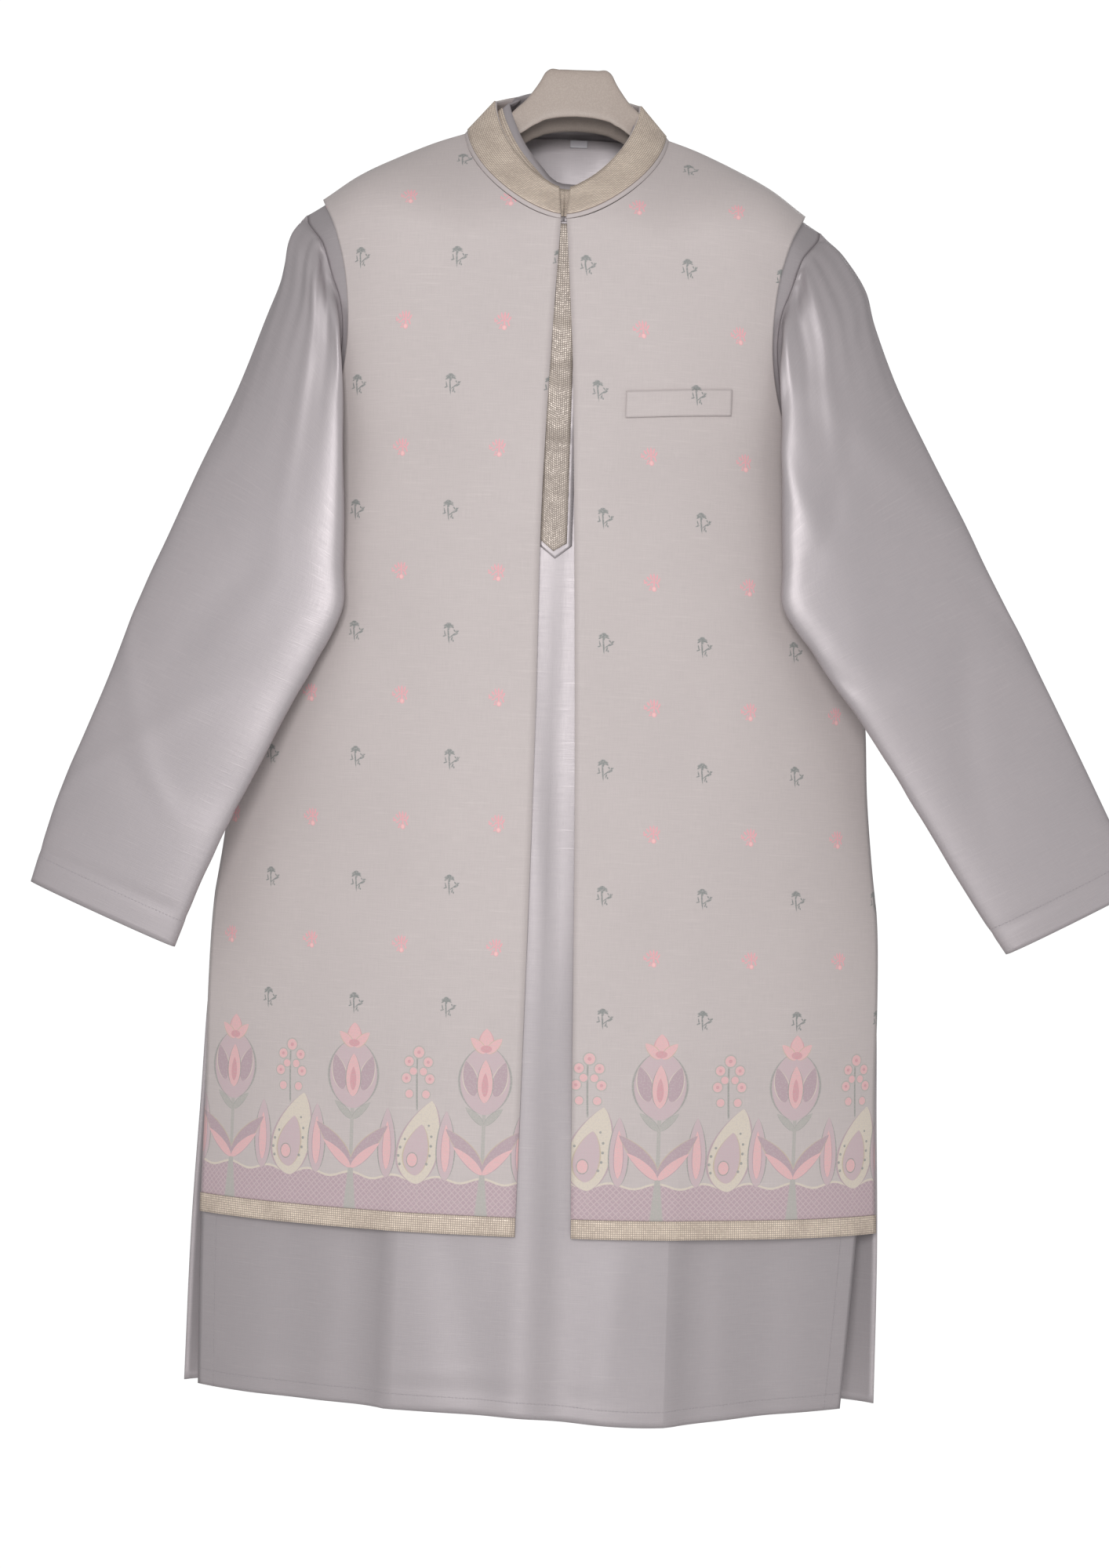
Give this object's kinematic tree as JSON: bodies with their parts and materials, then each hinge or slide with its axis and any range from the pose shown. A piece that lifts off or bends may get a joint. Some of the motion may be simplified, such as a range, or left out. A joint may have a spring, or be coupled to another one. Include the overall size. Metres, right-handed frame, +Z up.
{
  "type": "long-sleeved kurta with a long sleeveless jacket, on a hanger",
  "caption": "Long-sleeved band-collar kurta under an open long sleeveless jacket with woven sprigs and gold tapes, both on a broad moulded hanger.",
  "frame": {"origin": "middle of the flat top of the hanger's neck", "axes": "+Z up, the garment's front faces -Y, +X to its left side (the wearer's left)"},
  "size_m": [0.9451, 0.1561, 1.153],
  "materials": {
    "kurta_cloth": "satin",
    "jacket_cloth": "matte",
    "woven_tape": "satin",
    "label_cloth": "satin",
    "hanger_plastic": "satin"
  },
  "bodies": {
    "root": {"hanger": "hanger_plastic", "jacket_back": "jacket_cloth", "jacket_collar": "jacket_cloth", "jacket_collar_tape": "woven_tape", "jacket_front_left": "jacket_cloth", "jacket_front_right": "jacket_cloth", "jacket_hem_tape_back": "woven_tape", "jacket_hem_tape_left": "woven_tape", "jacket_hem_tape_right": "woven_tape", "jacket_pocket_welt": "jacket_cloth", "kurta_back": "kurta_cloth", "kurta_collar": "kurta_cloth", "kurta_collar_tape": "woven_tape", "kurta_front": "kurta_cloth", "kurta_neck_label": "label_cloth", "kurta_placket": "kurta_cloth", "kurta_placket_tape": "woven_tape", "kurta_sleeve_left": "kurta_cloth", "kurta_sleeve_right": "kurta_cloth"}
  },
  "joints": []
}
